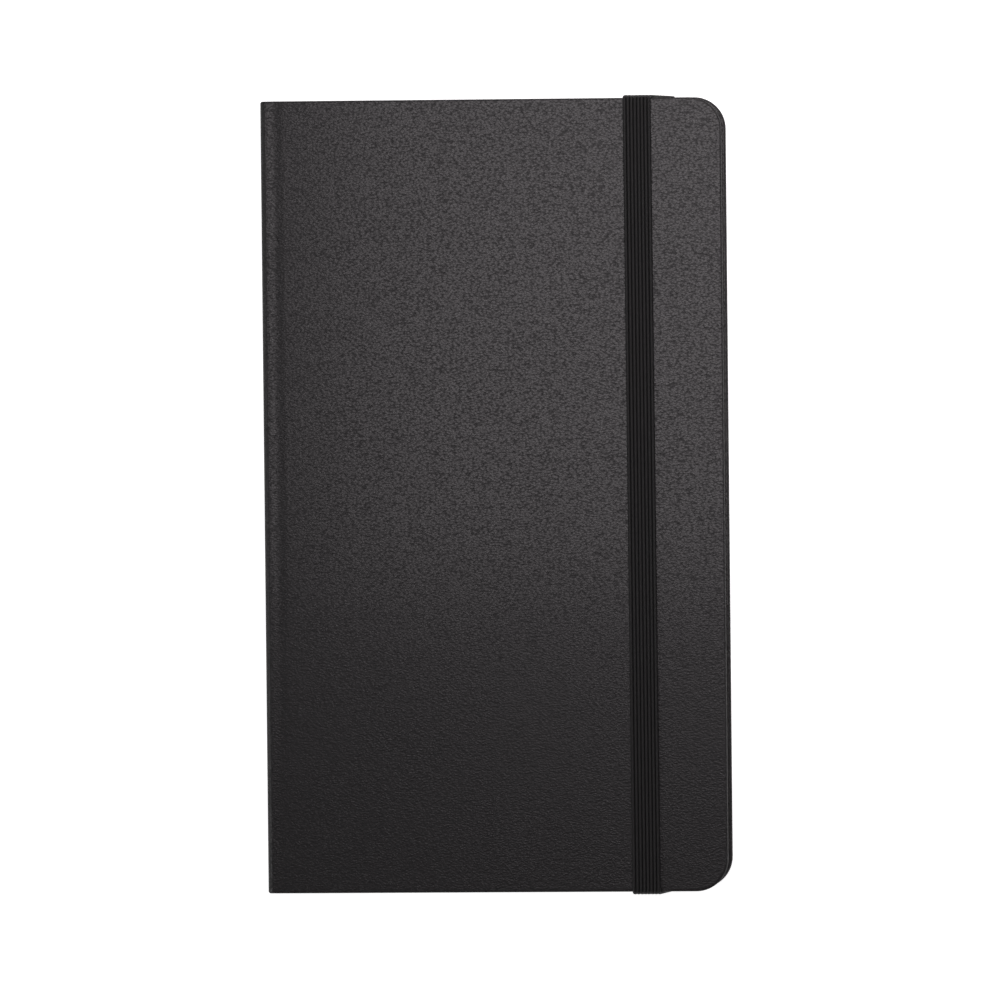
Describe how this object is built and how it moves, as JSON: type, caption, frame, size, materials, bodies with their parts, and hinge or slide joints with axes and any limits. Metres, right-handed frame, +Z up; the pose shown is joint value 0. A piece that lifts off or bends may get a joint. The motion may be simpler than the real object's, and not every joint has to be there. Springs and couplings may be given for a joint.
{
  "type": "pocket notebook",
  "caption": "Closed pocket notebook with a black leatherette hard cover, rounded fore-edge corners and a ribbed elastic strap round the head and tail.",
  "frame": {"origin": "middle of the bounding box's bottom face, on the face that the back cover rests on", "axes": "+X from the spine to the fore edge, +Y from the tail to the head, +Z up from the back cover to the front cover"},
  "size_m": [0.0874, 0.1512, 0.0137],
  "materials": {
    "leatherette": "satin",
    "greyboard": "matte",
    "endpaper": "matte",
    "page_paper": "matte",
    "thread": "matte",
    "gauze": "matte",
    "gusset_cloth": "matte",
    "elastic": "matte"
  },
  "bodies": {
    "back_cover": {"back_board": "greyboard", "back_cover_skin": "leatherette", "back_pastedown": "endpaper", "pocket_gusset_head": "gusset_cloth", "pocket_gusset_tail": "gusset_cloth", "elastic_ends": "elastic"},
    "rear_pages": {"back_flyleaf": "endpaper", "page_section_1": "page_paper", "page_section_2": "page_paper", "page_section_3": "page_paper", "page_section_4": "page_paper", "sewing_thread": "thread", "spine_lining": "gauze"},
    "spine": {"spine_card": "greyboard", "spine_skin": "leatherette"},
    "front_cover": {"front_board": "greyboard", "front_cover_skin": "leatherette", "front_pastedown": "endpaper"},
    "pages_5": {"page_section_5": "page_paper"},
    "pages_6": {"page_section_6": "page_paper"},
    "pages_7": {"page_section_7": "page_paper"},
    "pages_8": {"page_section_8": "page_paper", "front_flyleaf": "endpaper"},
    "pocket": {"pocket_panel": "endpaper"},
    "strap": {"elastic_strap": "elastic"}
  },
  "joints": [
    {"name": "rear_opening", "type": "hinge", "parent": "back_cover", "child": "rear_pages", "pos_m": [-0.0427, 0, 0.001], "axis": [0, 1, 0], "range_deg": [-90, 0]},
    {"name": "spine_fold", "type": "hinge", "parent": "rear_pages", "child": "spine", "pos_m": [-0.0427, 0, 0.001], "axis": [0, -1, 0], "range_deg": [0, 90]},
    {"name": "cover_opening", "type": "hinge", "parent": "spine", "child": "front_cover", "pos_m": [-0.0427, 0, 0.012], "axis": [0, -1, 0], "range_deg": [0, 90]},
    {"name": "pages_5_turn", "type": "hinge", "parent": "rear_pages", "child": "pages_5", "pos_m": [-0.04205, 0, 0.00677], "axis": [0, -1, 0], "range_deg": [0, 171], "deforming": ["spine_lining", "sewing_thread"]},
    {"name": "pages_6_turn", "type": "hinge", "parent": "rear_pages", "child": "pages_6", "pos_m": [-0.04205, 0, 0.00677], "axis": [0, -1, 0], "range_deg": [0, 174.96]},
    {"name": "pages_7_turn", "type": "hinge", "parent": "rear_pages", "child": "pages_7", "pos_m": [-0.04205, 0, 0.00677], "axis": [0, -1, 0], "range_deg": [0, 177.48]},
    {"name": "pages_8_turn", "type": "hinge", "parent": "rear_pages", "child": "pages_8", "pos_m": [-0.04205, 0, 0.00677], "axis": [0, -1, 0], "range_deg": [0, 179.1]},
    {"name": "pocket_gape", "type": "hinge", "parent": "back_cover", "child": "pocket", "pos_m": [0.0392, 0, 0.00255], "axis": [0, 1, 0], "range_deg": [0, 9]},
    {"name": "strap_stretch", "type": "slide", "parent": "back_cover", "child": "strap", "axis": [1, 0, 0], "range_m": [0, 0.022], "stiffness_N_per_m": 100, "deforming": ["elastic_strap"]}
  ],
  "couplings": [
    {"joint": "spine_fold", "follows": "cover_opening", "ratio": 1},
    {"joint": "pages_5_turn", "follows": "cover_opening", "ratio": 1.9},
    {"joint": "pages_6_turn", "follows": "cover_opening", "ratio": 1.944},
    {"joint": "pages_7_turn", "follows": "cover_opening", "ratio": 1.972},
    {"joint": "pages_8_turn", "follows": "cover_opening", "ratio": 1.99},
    {"joint": "pocket_gape", "follows": "rear_opening", "ratio": -0.1}
  ]
}
